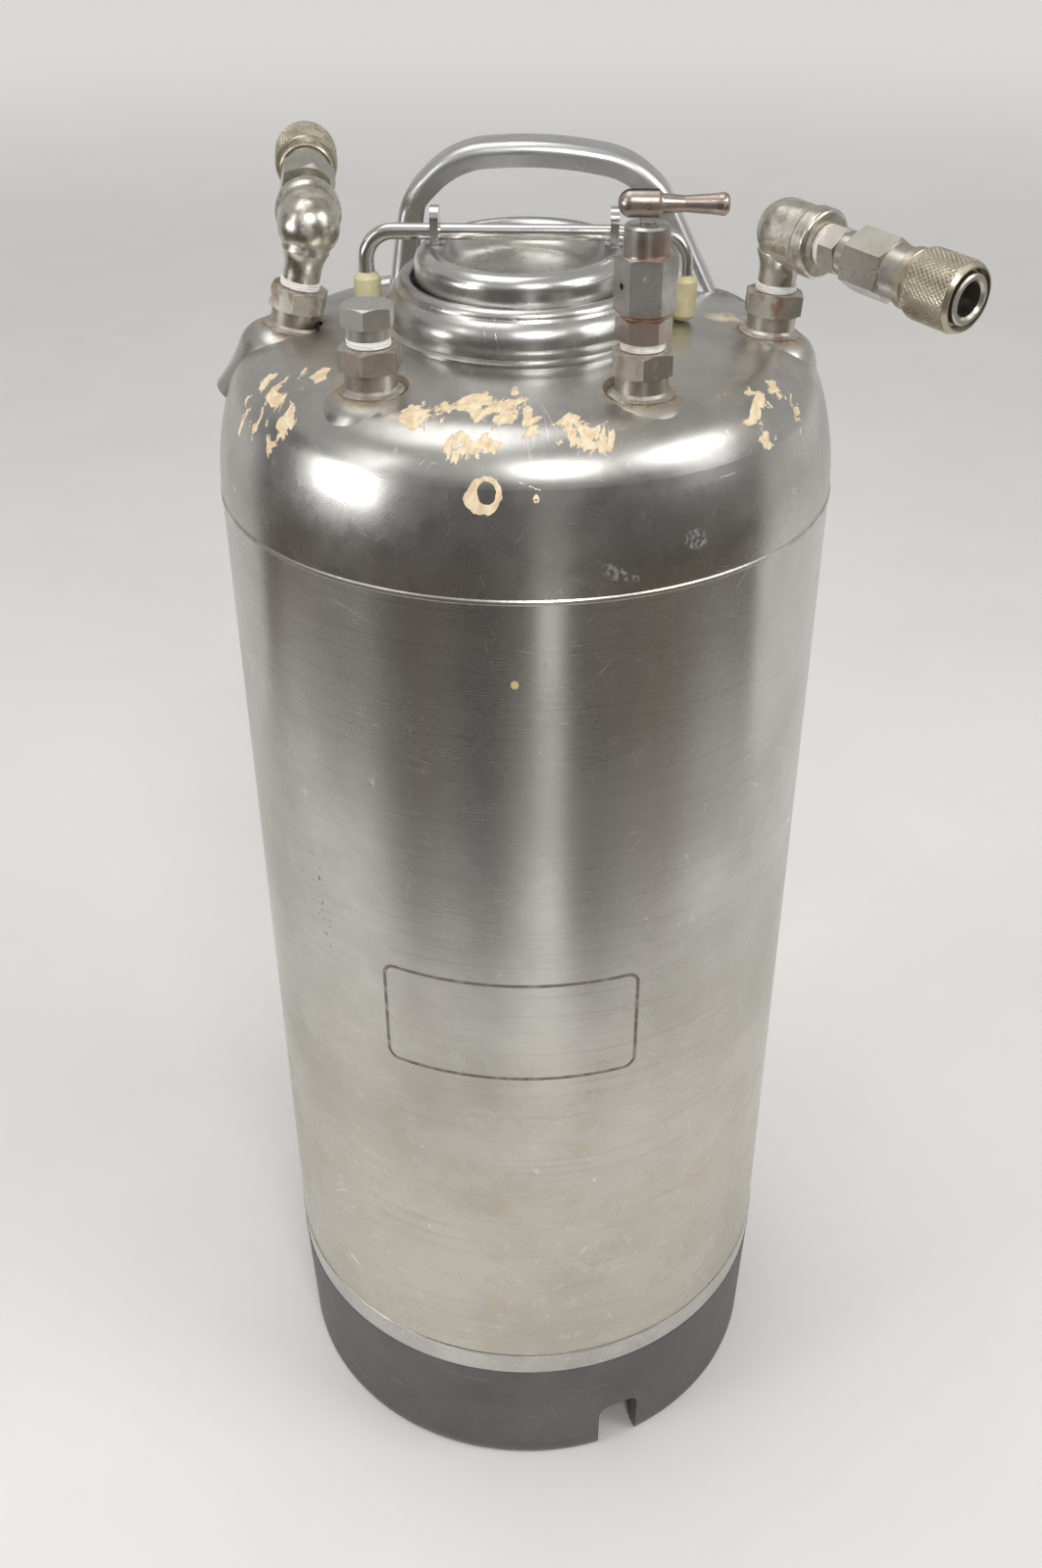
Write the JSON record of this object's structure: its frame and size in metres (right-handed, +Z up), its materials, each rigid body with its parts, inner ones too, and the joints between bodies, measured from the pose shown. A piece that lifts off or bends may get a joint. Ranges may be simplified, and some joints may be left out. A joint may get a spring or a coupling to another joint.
{
  "type": "pressure tank",
  "caption": "Upright stainless steel pressure tank on a rubber boot, with an oval lid and bail, a carry handle, capped and valved ports and knurled quick couplers.",
  "frame": {"origin": "on the floor at the tank's axis, at the centre of the boot's underside", "axes": "+Z up along the tank's axis, +X along the bail's crossbar towards the elbow with the drooping coupler, -Y towards the plug and the relief valve"},
  "size_m": [0.2657, 0.2294, 0.5734],
  "materials": {
    "shell_steel": "satin, brushed round the shell",
    "head_steel": "satin, drawn sheet",
    "weld_steel": "smooth weld bead",
    "rubber": "matt",
    "handle_steel": "bright bent sheet",
    "lid_steel": "polished",
    "gasket_rubber": "matt",
    "bail_steel": "bright rod",
    "foot_plastic": "matt",
    "boss_steel": "machined, rust stained",
    "plug_steel": "machined",
    "thread_tape": "matt",
    "valve_steel": "heat tinted",
    "copper": "dull",
    "spring_steel": "wire",
    "cast_steel": "cast, tumbled",
    "fitting_steel": "machined",
    "sleeve_steel": "knurled"
  },
  "bodies": {
    "tank": {"top_head": "head_steel", "shell": "shell_steel", "bottom_head": "head_steel", "upper_seam_weld": "weld_steel", "lower_seam_weld": "weld_steel", "base_boot": "rubber", "left_boss": "boss_steel", "front_left_boss": "boss_steel", "front_right_boss": "boss_steel", "right_boss": "boss_steel", "dip_tube": "fitting_steel", "carry_handle": "handle_steel", "plug_tape": "thread_tape", "hex_plug": "plug_steel", "valve_tape": "thread_tape", "valve_adapter": "valve_steel", "valve_washer": "copper", "valve_body": "valve_steel", "valve_spring": "spring_steel", "left_elbow": "cast_steel", "left_elbow_tape": "thread_tape", "left_nipple_tape": "thread_tape", "left_nipple": "fitting_steel", "left_coupler_body": "fitting_steel", "left_retaining_ring": "fitting_steel", "left_mouth_seal": "gasket_rubber", "right_elbow": "cast_steel", "right_elbow_tape": "thread_tape", "right_nipple_tape": "thread_tape", "right_nipple": "fitting_steel", "right_coupler_body": "fitting_steel", "right_retaining_ring": "fitting_steel", "right_mouth_seal": "gasket_rubber"},
    "lid": {"lid_plate": "lid_steel", "lid_gasket": "gasket_rubber", "lid_ear_left": "bail_steel", "lid_ear_right": "bail_steel"},
    "bail": {"bail_rod": "bail_steel", "bail_foot_left": "foot_plastic", "bail_foot_right": "foot_plastic"},
    "stem": {"valve_stem": "valve_steel", "valve_seal": "gasket_rubber", "toggle_pin": "valve_steel"},
    "lever": {"toggle_lever": "valve_steel"},
    "left_sleeve": {"left_coupler_sleeve": "sleeve_steel"},
    "right_sleeve": {"right_coupler_sleeve": "sleeve_steel"},
    "left_valve": {"left_poppet": "fitting_steel"},
    "right_valve": {"right_poppet": "fitting_steel"}
  },
  "joints": [
    {"name": "lid_drop", "type": "slide", "parent": "tank", "child": "lid", "axis": [0, 0, -1], "range_m": [0, 0.004]},
    {"name": "bail_swing", "type": "hinge", "parent": "lid", "child": "bail", "pos_m": [0, 0, 0.544], "axis": [1, 0, 0], "range_deg": [0, 90]},
    {"name": "stem_lift", "type": "slide", "parent": "tank", "child": "stem", "axis": [0, 0, 1], "range_m": [0, 0.0045], "stiffness_N_per_m": 200, "springref_m": -0.01, "deforming": ["valve_spring"]},
    {"name": "lever_flip", "type": "hinge", "parent": "stem", "child": "lever", "pos_m": [0.04089, -0.06806, 0.5693], "axis": [0, -1, 0], "range_deg": [0, 90]},
    {"name": "left_sleeve_pull", "type": "slide", "parent": "tank", "child": "left_sleeve", "axis": [0.1661, -0.9776, -0.1295], "range_m": [0, 0.0055], "stiffness_N_per_m": 400, "springref_m": -0.004},
    {"name": "right_sleeve_pull", "type": "slide", "parent": "tank", "child": "right_sleeve", "axis": [-0.6532, 0.7531, 0.0784], "range_m": [0, 0.0055], "stiffness_N_per_m": 400, "springref_m": -0.004},
    {"name": "left_poppet_push", "type": "slide", "parent": "tank", "child": "left_valve", "axis": [0.1661, -0.9776, -0.1295], "range_m": [0, 0.004], "stiffness_N_per_m": 300, "springref_m": -0.004},
    {"name": "right_poppet_push", "type": "slide", "parent": "tank", "child": "right_valve", "axis": [-0.6532, 0.7531, 0.0784], "range_m": [0, 0.004], "stiffness_N_per_m": 300, "springref_m": -0.004}
  ],
  "couplings": [
    {"joint": "bail_swing", "follows": "lid_drop", "rad_per_m": 392.6},
    {"joint": "lever_flip", "follows": "stem_lift", "rad_per_m": 349}
  ]
}
